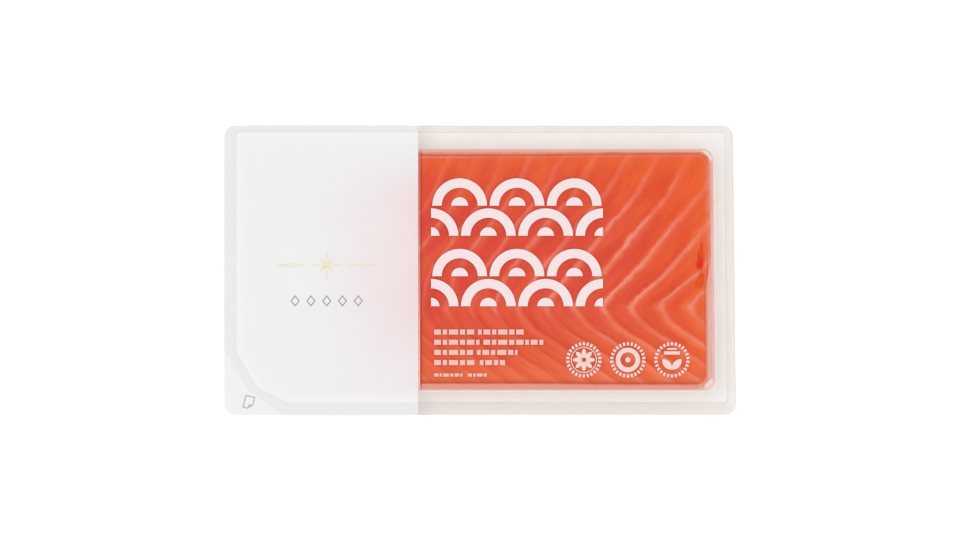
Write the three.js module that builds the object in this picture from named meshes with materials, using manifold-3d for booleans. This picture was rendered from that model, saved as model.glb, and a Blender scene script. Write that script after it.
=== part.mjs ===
import * as THREE from 'three';
import { mergeVertices } from 'three/addons/utils/BufferGeometryUtils.js';
import Module from 'manifold-3d';

// A flat pack of sliced smoked salmon. A clear thermoformed tray holds the
// slices, and a film is welded over it all round, apart from one peel corner.
// Millimetres, +Z up, near side at -Y. The origin is the middle of the underside.

// Outlines as sharp corners, counterclockwise from the near side, with the
// radius that rounds them.
const PACK = { corners: [[-115, -65], [115, -65], [115, 65], [-115, 65]], radius: 5 };
const POCKET = {
  corners: [[-84.1, -54], [105.8, -54], [105.8, 54.4], [-102.3, 54.4], [-102.3, -36.4], [-95.6, -48.1]],
  radius: 5,
};
const PACK_LENGTH = 230;
const PACK_WIDTH = 130;
const CUT_LEAN = 1.4; // how far the right-hand end leans in at the far side

// Tray, with the pocket that the slices lie in.
const SHEET = 0.5; // thickness of the tray
const TRAY_HEIGHT = 7.5;
const RIM_RADIUS = 0.8;
const FLOOR_RADIUS = 1.5;
const DRAFT = THREE.MathUtils.degToRad(6);

// Film, drawn down a little into the pocket.
const GAP = 0.3; // air kept between neighbouring pieces
const FILM = 0.3;
const DISH_DEPTH = 0.9;
const DISH_START = 0.2;
const DISH_RUN = 3;

// Weld band round the film, pressed into its top face. It runs to the cut edge
// and crosses the near left corner, where it leaves a loose tab to peel by.
const WELD_DEPTH = 0.1;
const WELD_INNER = {
  corners: [[-86.3, -59.2], [110.8, -59.2], [110.8, 61.6], [-109, 61.6], [-109, -36.7], [-99.8, -52.5]],
  radius: 1.5,
};
const WELD_OUTER = {
  corners: [[-87.1, -66], [116, -66], [116, 66], [-116, 66], [-116, -35.2], [-103.9, -54.7]],
  radius: 1.5,
};

// Slices of salmon, one block that fills the pocket but for a little room at
// its right-hand end.
const SLICES = 4;
const SLICE_GROOVE = 0.4;
const END_ROOM = 0.8;
const TOP_SWELL = 0.35;
const SWELL_LENGTHS = [46, 31];
const SWELL_STARTS = [0.6, -0.4];
const SWELL_SEGMENTS = [44, 26];

const ARC_STEPS = 3;
const BEND_STEPS = 4;
const DISH_STEPS = 8;
const SLICE_STEPS = 4;

const RIM_CENTRE_Z = TRAY_HEIGHT - RIM_RADIUS;
const FLOOR_CENTRE_Z = SHEET + FLOOR_RADIUS;
const BENDS = RIM_RADIUS + FLOOR_RADIUS;
const WALL_RUN = (RIM_CENTRE_Z - FLOOR_CENTRE_Z + BENDS * Math.sin(DRAFT)) / Math.cos(DRAFT);
const FLOOR_INSET = BENDS * Math.cos(DRAFT) + WALL_RUN * Math.sin(DRAFT);
const FILM_UNDERSIDE = TRAY_HEIGHT + GAP;
const FILM_TOP = FILM_UNDERSIDE + FILM;

const wasm = await Module();
wasm.setup();

// Outward directions, as angles, of an outline's edges.
function edgeAngles(corners) {
  return corners.map(([x, y], i) => {
    const [nextX, nextY] = corners[(i + 1) % corners.length];
    return Math.atan2(x - nextX, nextY - y);
  });
}

// Path along an outline, drawn in by inset, with an arc at each corner. The
// arcs keep their centres, so that every inset has the same number of points.
function roundedPath({ corners, radius }, inset) {
  const angles = edgeAngles(corners);
  const path = new THREE.Shape();
  corners.forEach(([x, y], i) => {
    const from = angles[(i + corners.length - 1) % corners.length];
    const turn = THREE.MathUtils.euclideanModulo(angles[i] - from, 2 * Math.PI);
    const middle = from + turn / 2;
    const reach = radius / Math.cos(turn / 2);
    const centre = [x - reach * Math.cos(middle), y - reach * Math.sin(middle)];
    path.absarc(centre[0], centre[1], radius - inset, from, from + turn);
  });
  return path;
}

function ring(outline, inset, z) {
  const points = roundedPath(outline, inset).getPoints(ARC_STEPS);
  return points.map((p) => new THREE.Vector3(p.x, p.y, z));
}

// Triangles that close an outline, turned over where the face looks down.
function capFaces(outline, first, looksDown) {
  const contour = outline.map((p) => new THREE.Vector2(p.x, p.y));
  return THREE.ShapeUtils.triangulateShape(contour, []).flatMap(([a, b, c]) => {
    const face = looksDown ? [a, c, b] : [a, b, c];
    return face.map((corner) => first + corner);
  });
}

// Skin over a run of rings of equal count, closed by the first and last one.
function loft(rings) {
  const count = rings[0].length;
  const last = rings.length - 1;
  const faces = capFaces(rings[0], 0, true);
  for (let level = 0; level < last; level += 1) {
    for (let i = 0; i < count; i += 1) {
      const a = level * count + i;
      const b = level * count + ((i + 1) % count);
      faces.push(a, b, b + count, a, b + count, a + count);
    }
  }
  faces.push(...capFaces(rings[last], last * count, false));
  const geometry = new THREE.BufferGeometry().setFromPoints(rings.flat());
  geometry.setIndex(faces);
  return geometry;
}

function toSolid(geometry) {
  const bare = geometry.clone();
  bare.deleteAttribute('normal');
  bare.deleteAttribute('uv');
  const merged = mergeVertices(bare);
  const vertProperties = new Float32Array(merged.attributes.position.array);
  const triVerts = new Uint32Array(merged.index.array);
  return new wasm.Manifold(new wasm.Mesh({ numProp: 3, vertProperties, triVerts }));
}

function toGeometry(solid) {
  const mesh = solid.getMesh();
  const geometry = new THREE.BufferGeometry();
  geometry.setAttribute('position', new THREE.BufferAttribute(mesh.vertProperties, 3));
  geometry.setIndex(new THREE.BufferAttribute(mesh.triVerts, 1));
  return geometry;
}

// The web ran slightly askew: what is further right leans in more at the far side.
function lean(geometry) {
  const position = geometry.attributes.position;
  for (let i = 0; i < position.count; i += 1) {
    const along = position.getX(i) / PACK_LENGTH + 0.5;
    const across = position.getY(i) / PACK_WIDTH + 0.5;
    position.setX(i, position.getX(i) - CUT_LEAN * along * across);
  }
  geometry.computeVertexNormals();
  return geometry;
}

// Pocket wall as [inset, z] pairs from the rim down: a rim bend, a drafted
// wall and a floor bend. An outset moves it to the outside of the sheet.
function wallProfile(outset) {
  const points = [];
  for (let i = 0; i <= BEND_STEPS; i += 1) {
    const turn = (i / BEND_STEPS) * (Math.PI / 2 - DRAFT);
    const radius = RIM_RADIUS - outset;
    points.push([radius * Math.sin(turn), RIM_CENTRE_Z + radius * Math.cos(turn)]);
  }
  for (let i = 0; i <= BEND_STEPS; i += 1) {
    const turn = DRAFT + (i / BEND_STEPS) * (Math.PI / 2 - DRAFT);
    const radius = FLOOR_RADIUS + outset;
    points.push([FLOOR_INSET - radius * Math.cos(turn), FLOOR_CENTRE_Z - radius * Math.sin(turn)]);
  }
  return points;
}

// How far in from the rim the inside of the pocket wall stands at height z.
function wallInset(z) {
  const bendTop = FLOOR_CENTRE_Z - FLOOR_RADIUS * Math.sin(DRAFT);
  if (z < bendTop) {
    return FLOOR_INSET - Math.sqrt(FLOOR_RADIUS ** 2 - (FLOOR_CENTRE_Z - z) ** 2);
  }
  return FLOOR_INSET - FLOOR_RADIUS * Math.cos(DRAFT) - (z - bendTop) * Math.tan(DRAFT);
}

// Plate with the pack's outline and the pocket pressed down out of it. Under
// and over are the pocket's two faces as [inset, z] pairs from the rim down.
function pressedPlate(bottom, top, under, over) {
  const plate = toSolid(loft([ring(PACK, 0, bottom), ring(PACK, 0, top)]));
  const [pressed, hollow] = [under, over].map((profile) => {
    const rings = profile.map(([inset, z]) => ring(POCKET, inset, z));
    return toSolid(loft(rings.reverse()));
  });
  return plate.add(pressed).subtract(hollow);
}

function makeTray() {
  return toGeometry(pressedPlate(TRAY_HEIGHT - SHEET, TRAY_HEIGHT, wallProfile(SHEET), wallProfile(0)));
}

// Film's dip into the pocket as [inset, z] pairs from just inside the rim.
function dishProfile(lift) {
  const points = [];
  for (let i = 0; i <= DISH_STEPS; i += 1) {
    const part = i / DISH_STEPS;
    const drop = DISH_DEPTH * THREE.MathUtils.smoothstep(part, 0, 1);
    points.push([DISH_START + part * DISH_RUN, FILM_UNDERSIDE + lift - drop]);
  }
  return points;
}

function weldCutter() {
  const band = roundedPath(WELD_OUTER, 0);
  band.holes.push(roundedPath(WELD_INNER, 0));
  const cutter = new THREE.ExtrudeGeometry(band, { depth: FILM, bevelEnabled: false, curveSegments: ARC_STEPS });
  return cutter.translate(0, 0, FILM_TOP - WELD_DEPTH);
}

function makeFilm() {
  const film = pressedPlate(FILM_UNDERSIDE, FILM_TOP, dishProfile(0), dishProfile(FILM));
  return toGeometry(film.subtract(toSolid(weldCutter())));
}

// Block with the softly uneven top that the slices end at.
function swellBlock(top) {
  const [columns, rows] = SWELL_SEGMENTS;
  const block = new THREE.BoxGeometry(PACK_LENGTH, PACK_WIDTH, 2 * top, columns, rows, 1);
  const position = block.attributes.position;
  for (let i = 0; i < position.count; i += 1) {
    if (position.getZ(i) > 0) {
      const along = Math.sin((position.getX(i) / SWELL_LENGTHS[0]) * Math.PI + SWELL_STARTS[0]);
      const across = Math.cos((position.getY(i) / SWELL_LENGTHS[1]) * Math.PI + SWELL_STARTS[1]);
      position.setZ(i, top - (TOP_SWELL / 2) * (1 + along * across));
    }
  }
  return block;
}

function makeSalmon() {
  const bottom = SHEET + GAP;
  const top = TRAY_HEIGHT - DISH_DEPTH;
  const slice = (top - bottom) / SLICES;
  const corners = POCKET.corners.map(([x, y]) => [x > 0 ? x - END_ROOM : x, y]);
  const rings = [];
  for (let step = 0; step <= SLICES * SLICE_STEPS; step += 1) {
    const z = bottom + (step / SLICE_STEPS) * slice;
    const groove = SLICE_GROOVE * (1 - Math.abs(Math.sin((step / SLICE_STEPS) * Math.PI)));
    rings.push(ring({ corners, radius: POCKET.radius }, wallInset(z) + GAP + groove, z));
  }
  return toGeometry(toSolid(loft(rings)).intersect(toSolid(swellBlock(top))));
}

function piece(name, geometry, color, roughness) {
  const material = new THREE.MeshStandardMaterial({ color, roughness, metalness: 0 });
  const mesh = new THREE.Mesh(lean(geometry), material);
  mesh.name = name;
  return mesh;
}

const pack = new THREE.Group();
pack.add(piece('tray', makeTray(), 0xe9e4e0, 0.15));
pack.add(piece('salmon', makeSalmon(), 0xe1553a, 0.4));
pack.add(piece('lid_film', makeFilm(), 0xf1f1f2, 0.2));

export default pack;
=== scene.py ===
import math

import bmesh
import bpy
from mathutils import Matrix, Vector, noise


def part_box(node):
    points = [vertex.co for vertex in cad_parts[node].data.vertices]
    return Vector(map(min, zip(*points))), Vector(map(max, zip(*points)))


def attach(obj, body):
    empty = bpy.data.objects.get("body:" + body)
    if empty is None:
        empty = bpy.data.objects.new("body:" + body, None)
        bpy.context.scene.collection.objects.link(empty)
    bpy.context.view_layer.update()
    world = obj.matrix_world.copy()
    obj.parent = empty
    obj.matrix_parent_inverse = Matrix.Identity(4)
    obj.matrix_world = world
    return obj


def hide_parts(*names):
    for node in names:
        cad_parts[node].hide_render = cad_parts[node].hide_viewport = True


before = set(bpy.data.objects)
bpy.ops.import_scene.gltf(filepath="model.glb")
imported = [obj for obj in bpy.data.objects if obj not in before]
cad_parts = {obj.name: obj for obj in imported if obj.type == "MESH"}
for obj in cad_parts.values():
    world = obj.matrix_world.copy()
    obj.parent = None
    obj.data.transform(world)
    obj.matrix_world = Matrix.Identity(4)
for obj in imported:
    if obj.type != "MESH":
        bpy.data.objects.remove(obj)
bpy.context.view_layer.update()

# ------------------------------------------------------------------ tray ---
# A clear plastic sheet, softened and drawn down into one shallow pocket, then
# cut out with a broad flange and rounded corners. The pocket's near left
# corner is cut off, which leaves room for the tab that the film is peeled by.

MM = 0.001
PACK_LENGTH, PACK_WIDTH = 230, 130
PACK_OUTLINE = [(-115, -65), (115, -65), (115, 65), (-115, 65)]
PACK_RADIUS = 5
POCKET_OUTLINE = [
    (-84.1, -54), (105.8, -54), (105.8, 54.4), (-102.3, 54.4), (-102.3, -36.4), (-95.6, -48.1)
]
POCKET_RADIUS = 5
CUT_LEAN = 1.4  # how far the right-hand end leans in at the far side
TURN_PER_CUT = math.radians(7.5)  # rounds a corner in short straight cuts
BLANK_LENGTH = 1.1 * PACK_LENGTH  # of a sheet before it is cut out
CUT_MERGE = 1e-7  # a corner this close to a cut, in metres, is taken as lying on it
SAME_PLACE = 1e-6  # and two corners or heights this close are taken as the same

TRAY_SHEET = 0.4
TRAY_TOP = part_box("tray")[1].z / MM + 0.1  # the flange lies close under the film
RIM_BEND, FLOOR_BEND = 0.55, 1.5
DRAFT = math.radians(4)
BEND_CUTS = 5
CUT_EDGE, CUT_ANGLE = 0.08, math.radians(60)  # the die leaves the sheet's sharp edges this much rounded
WALL_REACH, CORNER_REACH = 1.0, 0.5  # how far in from the rim a pale pink band is painted on the wall, standing in for light and the salmon's colour seen in it
WALL_TONES = {"haze_and_painted_light": 0.55, "painted_glow": 0.7}
CORNER_FROM = (100.8, 49)  # beyond this a place lies in one of the pocket's right-hand corners
SMOOTH_UNDER = math.radians(35)


def only(piece):
    """Makes this piece the one that is selected and worked on."""
    bpy.ops.object.select_all(action="DESELECT")
    piece.select_set(True)
    bpy.context.view_layer.objects.active = piece


def edit(piece):
    """Opens a piece in edit mode, with nothing picked."""
    only(piece)
    bpy.ops.object.mode_set(mode="EDIT")
    bpy.ops.mesh.select_mode(type="FACE")
    bpy.ops.mesh.select_all(action="DESELECT")


def edit_all(piece):
    """Opens a piece in edit mode, with all of it picked."""
    edit(piece)
    bpy.ops.mesh.select_all(action="SELECT")


def done():
    bpy.ops.object.mode_set(mode="OBJECT")


def pick(piece, kind, wanted):
    """Picks the faces or edges for which wanted is true, and no others."""
    bpy.ops.mesh.select_mode(type=kind)
    bpy.ops.mesh.select_all(action="DESELECT")
    mesh = bmesh.from_edit_mesh(piece.data)
    for part in mesh.faces if kind == "FACE" else mesh.edges:
        if wanted(part):
            part.select_set(True)
    bmesh.update_edit_mesh(piece.data)


def shape_by(piece, kind, **settings):
    """Gives the piece one modifier and applies it."""
    only(piece)
    modifier = piece.modifiers.new(kind.lower(), kind)
    for name, value in settings.items():
        setattr(modifier, name, value)
    bpy.ops.object.modifier_apply(modifier=modifier.name)


def corner_arcs(outline, radius):
    """The arc that rounds each corner, as its centre, the angle it starts at and how far it turns."""
    arcs = []
    for i, (x, y) in enumerate(outline):
        last_x, last_y = outline[i - 1]
        next_x, next_y = outline[(i + 1) % len(outline)]
        start = math.atan2(last_x - x, y - last_y)
        turn = (math.atan2(x - next_x, next_y - y) - start) % math.tau
        reach = radius / math.cos(turn / 2)
        middle = start + turn / 2
        arcs.append((x - reach * math.cos(middle), y - reach * math.sin(middle), start, turn))
    return arcs


def inside_by(x, y, outline, radius):
    """How far a point lies inside a rounded outline, in millimetres, or outside it if below zero."""
    arcs = corner_arcs(outline, radius)
    depth = math.inf
    for centre_x, centre_y, start, turn in arcs:
        side = start + turn
        away = (x - centre_x) * math.cos(side) + (y - centre_y) * math.sin(side)
        depth = min(depth, radius - away)
    for centre_x, centre_y, start, turn in arcs:
        angle = (math.atan2(y - centre_y, x - centre_x) - start) % math.tau
        if angle < turn:
            depth = min(depth, radius - math.hypot(x - centre_x, y - centre_y))
    return depth


def cut(point, out, clear=True):
    """Cuts all of the open piece through a point, and clears the side that out points to."""
    bpy.ops.mesh.select_all(action="SELECT")
    bpy.ops.mesh.bisect(plane_co=point, plane_no=out, clear_outer=clear, threshold=CUT_MERGE)


def trim(outline, radius, inset=0):
    """Cuts the open sheet to an outline: round each corner in short cuts, then along the side after it."""
    for centre_x, centre_y, start, turn in corner_arcs(outline, radius):
        cuts = math.ceil(turn / TURN_PER_CUT)
        for i in range(1, cuts + 1):
            angle = start + turn * i / cuts
            out = Vector((math.cos(angle), math.sin(angle), 0))
            point = Vector((centre_x, centre_y, 0)) + (radius - inset) * out
            cut(point * MM, out)


def cut_sheet(name, outline, radius, height, inset=0, cell=None):
    """A flat sheet cut to an outline: one face, or a net of square cells to be shaped later."""
    bpy.ops.object.select_all(action="DESELECT")
    cells = round(PACK_LENGTH / cell) if cell else 1
    bpy.ops.mesh.primitive_grid_add(
        x_subdivisions=cells, y_subdivisions=cells, size=BLANK_LENGTH * MM, location=(0, 0, height * MM)
    )
    sheet = bpy.context.object
    sheet.name = sheet.data.name = name
    bpy.ops.object.transform_apply(location=True, rotation=True, scale=True)
    edit(sheet)
    trim(outline, radius, inset)
    done()
    return sheet


def cut_loop(outline, radius, height, inset=0):
    """The bare edge of a sheet cut to an outline, to fill up to."""
    loop = cut_sheet("loop", outline, radius, height, inset)
    edit_all(loop)
    bpy.ops.mesh.delete(type="ONLY_FACE")
    done()
    return loop


def join(pieces, name):
    only(pieces[0])
    for piece in pieces[1:]:
        piece.select_set(True)
    bpy.ops.object.join()
    pieces[0].name = pieces[0].data.name = name
    return pieces[0]


def face_up(piece):
    """Turns over the faces of a sheet that look down."""
    pick(piece, "FACE", lambda face: face.normal.z < 0)
    bpy.ops.mesh.flip_normals()


def fill_between(piece):
    """Fills the flat room between the open loops of edges."""
    pick(piece, "EDGE", lambda edge: len(edge.link_faces) < 2)
    bpy.ops.mesh.fill(use_beauty=True)


def press(profile):
    """Presses the picked face in step by step, along (inset, height) pairs that start where it is."""
    for (inset, height), (next_inset, next_height) in zip(profile, profile[1:]):
        bpy.ops.mesh.inset(thickness=(next_inset - inset) * MM, depth=(next_height - height) * MM)


def wall_profile(top, floor):
    """The pocket's wall as (inset, height) pairs: a rim bend, a drafted wall and a floor bend."""
    bends = RIM_BEND + FLOOR_BEND
    run = (top - RIM_BEND - floor - FLOOR_BEND + bends * math.sin(DRAFT)) / math.cos(DRAFT)
    floor_inset = bends * math.cos(DRAFT) + run * math.sin(DRAFT)
    points = []
    for i in range(BEND_CUTS + 1):
        turn = i / BEND_CUTS * (math.pi / 2 - DRAFT)
        points.append((RIM_BEND * math.sin(turn), top - RIM_BEND * (1 - math.cos(turn))))
    for i in range(BEND_CUTS + 1):
        turn = DRAFT + i / BEND_CUTS * (math.pi / 2 - DRAFT)
        points.append((floor_inset - FLOOR_BEND * math.cos(turn), floor + FLOOR_BEND * (1 - math.sin(turn))))
    return points


def lean(piece):
    """The sheet ran slightly askew to the cutter, so that what is further right leans in at the far side."""
    bpy.ops.object.select_all(action="DESELECT")
    bpy.ops.object.add(type="LATTICE")
    lattice = bpy.context.object
    lattice.scale = (PACK_LENGTH * MM, PACK_WIDTH * MM, PACK_WIDTH * MM)
    lattice.data.interpolation_type_u = lattice.data.interpolation_type_v = "KEY_LINEAR"
    for point in lattice.data.points:
        if point.co.x > 0 and point.co.y > 0:
            point.co_deform.x -= CUT_LEAN / PACK_LENGTH
    bpy.context.view_layer.update()
    shape_by(piece, "LATTICE", object=lattice)
    bpy.data.objects.remove(lattice)


def smooth(piece):
    only(piece)
    bpy.ops.object.shade_smooth_by_angle(angle=SMOOTH_UNDER)


def pigment(red, green, blue):
    """A colour as a paint card gives it, 0 to 255, made linear for the shaders."""
    shares = (value / 255 for value in (red, green, blue))
    return (*(s / 12.92 if s <= 0.04045 else ((s + 0.055) / 1.055) ** 2.4 for s in shares), 1)


def new_finish(name):
    material = bpy.data.materials.new(name)
    material.use_nodes = True
    material.node_tree.nodes.clear()
    return material


def shader(material, kind, inputs=None, **settings):
    """Adds a shader node. Each input takes a number, a colour or another node's output."""
    tree = material.node_tree
    made = tree.nodes.new("ShaderNode" + kind)
    for name, value in settings.items():
        setattr(made, name, value)
    for name, value in (inputs or {}).items():
        if isinstance(value, bpy.types.NodeSocket):
            tree.links.new(value, made.inputs[name])
        else:
            made.inputs[name].default_value = value
    return made


def cover(material, surface):
    output = shader(material, "OutputMaterial")
    material.node_tree.links.new(surface, output.inputs["Surface"])
    return material


def patches(material, size, detail=2.0, roughness=0.5):
    """Soft noise on the piece's own coordinates, with patches of about this size in millimetres."""
    place = shader(material, "TexCoord").outputs["Object"]
    inputs = {"Vector": place, "Scale": 1 / (size * MM), "Detail": detail, "Roughness": roughness}
    return shader(material, "TexNoise", inputs).outputs["Fac"]


def between(material, value, low, high, to_low=0.0, to_high=1.0):
    """Turns a value from low to high into one from to_low to to_high, and stops at both ends."""
    inputs = {"Value": value, "From Min": low, "From Max": high, "To Min": to_low, "To Max": to_high}
    return shader(material, "MapRange", inputs).outputs["Result"]


def patchy(material, size, low, high, detail=2.0, roughness=0.5):
    """A value that goes from low to high in soft patches of about this size in millimetres."""
    return between(material, patches(material, size, detail, roughness), 0.3, 0.7, low, high)


def bumps(material, size, detail, strength, height):
    """An uneven surface, with bumps of about this size and at most this height in millimetres."""
    inputs = {"Height": patches(material, size, detail), "Strength": strength, "Distance": height * MM}
    return shader(material, "Bump", inputs).outputs["Normal"]


def sums(material, operation, first, second):
    return shader(material, "Math", {0: first, 1: second}, operation=operation).outputs["Value"]


def times(material, first, second):
    return sums(material, "MULTIPLY", first, second)


def blend(material, share, first, second, mode="MIX"):
    mixed = shader(material, "Mix", {0: share, 6: first, 7: second}, data_type="RGBA", blend_type=mode)
    return mixed.outputs[2]


def solid(material, colour, roughness, **more):
    """A surface that light doesn't pass. More sockets are named with _ for a space."""
    inputs = {"Base Color": colour, "Roughness": roughness}
    inputs.update((name.replace("_", " "), value) for name, value in more.items())
    return shader(material, "BsdfPrincipled", inputs).outputs["BSDF"]


def tone_of(material, name):
    """A tone laid on the piece, 0 where it has none."""
    return shader(material, "Attribute", attribute_name=name).outputs["Fac"]


PAINTED_GLOW_COLOUR = pigment(250, 158, 134)
DEEPEN = (0.935, 0.91, 0.905)
PLAIN_WHITE = (1, 1, 1, 1)
MILK_PATCH = 14
GLOSS_AHEAD = 0.016  # the share of light that a face mirrors when looked at squarely
GLOSS_RISE = 5.0  # and how late that share rises as the face is looked at more and more at a slant


def mix_shaders(material, share, first, second):
    return shader(material, "MixShader", {0: share, 1: first, 2: second}).outputs["Shader"]


def clear_plastic(name, tint, milky, haze_and_painted_light, gloss_roughness, ripple):
    """Clear sheet: light passes but for a trace of haze in patches, and the surface mirrors more at a slant.

    The tones on the piece paint light and shade: one adds haze, mostly as painted highlights and pale bands,
    one deepens the tint as painted shade, and one turns the haze pink as a painted reflection of the salmon.
    """
    material = new_finish(name)
    wave = bumps(material, ripple, 1.0, 0.12, 0.4)
    deep_tint = tuple(share * deepen for share, deepen in zip(tint, DEEPEN))
    passed = blend(material, tone_of(material, "deep"), tint, (*deep_tint, 1))
    clear = shader(material, "BsdfTransparent", {"Color": passed}).outputs["BSDF"]
    # the pink blended into the haze is a painted reflection of the salmon's colour
    milky = blend(material, tone_of(material, "painted_glow"), milky, PAINTED_GLOW_COLOUR)
    body = solid(material, milky, 0.5, Normal=wave)
    haze = patchy(material, MILK_PATCH, haze_and_painted_light * 0.9, haze_and_painted_light * 1.1)
    # the tone added here is mostly painted highlights and pale bands, on top of the sheet's real haze
    haze = sums(material, "ADD", haze, tone_of(material, "haze_and_painted_light"))
    sheet = mix_shaders(material, haze, clear, body)
    mirror = {"Color": PLAIN_WHITE, "Roughness": gloss_roughness, "Normal": wave}
    gloss = shader(material, "BsdfGlossy", mirror).outputs["BSDF"]
    slant = shader(material, "LayerWeight", {"Blend": 0.5, "Normal": wave}).outputs["Facing"]
    share = between(material, sums(material, "POWER", slant, GLOSS_RISE), 0.0, 1.0, GLOSS_AHEAD, 1.0)
    return cover(material, mix_shaders(material, share, sheet, gloss))


def lay_tone(piece, name, tone, domain="FACE"):
    """Writes tone(x, y) over a piece, by place in millimetres before the lean."""
    mesh = piece.data
    attribute = mesh.attributes.new(name, "FLOAT", domain)
    spots = [face.center for face in mesh.polygons] if domain == "FACE" else [v.co for v in mesh.vertices]
    attribute.data.foreach_set("value", [tone(spot.x / MM, spot.y / MM) for spot in spots])


def belongs(piece, material, slot, *nodes):
    """Coats a finished piece, sets it on the pack's one body and hides the model's parts that it stands for.
    """
    piece.data.materials.clear()
    piece.data.materials.append(material)
    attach(piece, "root")
    if nodes:
        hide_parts(*nodes)


def in_right_corner(x, y):
    return x > CORNER_FROM[0] and abs(y) > CORNER_FROM[1]


def wall_tone(name, x, y):
    reach = CORNER_REACH if in_right_corner(x, y) else WALL_REACH
    return WALL_TONES[name] * (0 < inside_by(x, y, POCKET_OUTLINE, POCKET_RADIUS) < reach)


tray_wall = wall_profile(TRAY_TOP, TRAY_SHEET)
tray_mouth = cut_sheet("tray_mouth", POCKET_OUTLINE, POCKET_RADIUS, TRAY_TOP)
edit_all(tray_mouth)
press(tray_wall)
done()
tray = join([tray_mouth, cut_loop(PACK_OUTLINE, PACK_RADIUS, TRAY_TOP)], "tray_shell")
edit(tray)
fill_between(tray)
face_up(tray)
done()
# a painted pale pink band on the wall near the rim, standing in for light and the salmon's reflected colour
# in the clear wall
for name in WALL_TONES:
    lay_tone(tray, name, lambda x, y: wall_tone(name, x, y))
shape_by(tray, "SOLIDIFY", thickness=TRAY_SHEET * MM, offset=-1, use_even_offset=True)
shape_by(tray, "BEVEL", width=CUT_EDGE * MM, segments=2, limit_method="ANGLE", angle_limit=CUT_ANGLE)
lean(tray)
smooth(tray)
clear_tray = clear_plastic(
    "clear_tray_sheet",
    tint=(0.937, 0.947, 0.944, 1),
    milky=pigment(222, 217, 211),
    haze_and_painted_light=0.12,
    gloss_roughness=0.08,
    ripple=14,
)
belongs(tray, clear_tray, "clear_tray", "tray")

# ---------------------------------------------------------------- salmon ---
# Slices of cold-smoked salmon side, laid on each other so that the block keeps
# the side's shape. Pale fat parts the flakes in chevrons that point left, the
# flesh is moist and slightly see-through, and the right end is cut unevenly.

SLICES = 4
SLICE_GAP = 0.03
SLICE_EDGE, SHOULDER = 0.4, 0.6
SLICE_CORNER = 7.2
SALMON_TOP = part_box("salmon")[1].z / MM - 0.05
SALMON_FLOOR = TRAY_SHEET + 0.05
WALL_ROOM = 0.1  # between the slices and the pocket's wall
END_ROOM = [1.2, 0.5, 1.6, 0.1]  # at the right-hand end, from the lowest slice up
TOP_CELL = 1.9
LOWER_CELL = 6
EDGE_WAVER = 0.15

SPINE_Y = -16.8  # the line along which the chevrons point
SPINE_SOFTNESS, SPINE_BLEND = 1.2, 1.5
UPPER_SLOPE, UPPER_SHIFT, UPPER_RUN = 0.72, 7, 17
LOWER_SLOPE, LOWER_CURVE, LOWER_BEND, LOWER_STEEP = 0.55, 0.05, 13, 1.5
FIRST_LINE = 54.3
SPINE_PITCH, FAR_PITCH, PITCH_RUN = 13.1, 14.4, 18
CROWDED_LEFT_OF, CROWDING, CROWDING_SOFTNESS = 20, 0.2, 4
LINE_WARP = 0.07  # in line pitches
# Where the lines bow to the right, or to the left if below zero: middle height, half height, how far.
BOWS = [(-18, 9, 1.5), (-0.5, 8, -1.6), (34.5, 13, 2.6)]
SWELL = 0.3
GROOVE, GROOVE_HALF = 0.05, 0.09  # how deep in millimetres, and how wide in line pitches
WAVER_RUN = (1.5, 6)  # the edge wavers less and less inwards over this
# Dark gaps in the right end: right side, middle height, width half way up, half height.
NOTCHES = [(101.4, 6.4, 2.8, 7.2), (101.1, -4.7, 3.3, 3.7)]
NOTCH_DEPTH, NOTCH_TAPER, NOTCH_SIDE = 1.2, 0.5, (0.6, 1.2)
NEAR_ROOM, FAR_ROOM, FAR_FROM = 0.85, 0.15, (-12, 8)
NEAR_END_ROOM, NEAR_END_FROM = 1.5, (98, 102)
CROWDED_BY, CROWDED_FROM = 0.45, (20, 70)


def smoothstep(value, low, high):
    share = min(max((value - low) / (high - low), 0), 1)
    return share * share * (3 - 2 * share)


def uneven(x, y, length, width, start):
    """Soft noise from about -1 to 1, in swells of about this length and width in millimetres."""
    return noise.noise(Vector((x / length, y / width, start)))


def flake_at(x, y):
    """How many flakes a place lies to the right of the first fat line. Fat lies at whole numbers."""
    x -= sum(bow * math.exp(-(((y - middle) / half) ** 2)) for middle, half, bow in BOWS)
    off = y - SPINE_Y
    away = math.hypot(off, SPINE_SOFTNESS) - SPINE_SOFTNESS
    upper = UPPER_SLOPE * away + UPPER_SHIFT * smoothstep(away, 0, UPPER_RUN)
    bent = min(away, LOWER_BEND)
    lower = bent * (LOWER_SLOPE + LOWER_CURVE * bent) + LOWER_STEEP * (away - bent)
    share = smoothstep(off, -SPINE_BLEND, SPINE_BLEND)
    left_by = CROWDED_LEFT_OF - x
    along = x - CROWDING * (math.hypot(left_by, CROWDING_SOFTNESS) + left_by) / 2
    pitch = SPINE_PITCH + (FAR_PITCH - SPINE_PITCH) * smoothstep(off, 0, PITCH_RUN)
    warp = LINE_WARP * uneven(x, y, 34, 22, 3.1)
    warp += 0.4 * LINE_WARP * uneven(x, y, 13, 11, 8.4)
    return (along - lower - (upper - lower) * share - FIRST_LINE) / pitch + warp


def wall_inset(height):
    """How far in from the rim the inside of the pocket's wall stands at a height."""
    for (inset, top), (next_inset, bottom) in zip(tray_wall, tray_wall[1:]):
        if bottom <= height <= top:
            return inset + (next_inset - inset) * (top - height) / (top - bottom)
    return tray_wall[-1][0]


def notch_at(x, y):
    """1 in the middle of a dark gap, 0 outside them all."""
    depth = 0
    for right, middle, width, half_height in NOTCHES:
        up = (y - middle) / half_height
        half_width = width * (1 - NOTCH_TAPER * min(max(up, -1), 1)) / 2
        aside = (x - right) / half_width + 1
        away = (aside**4 + up**4) ** 0.25
        depth = max(depth, 1 - smoothstep(away, *NOTCH_SIDE))
    return depth


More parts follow.
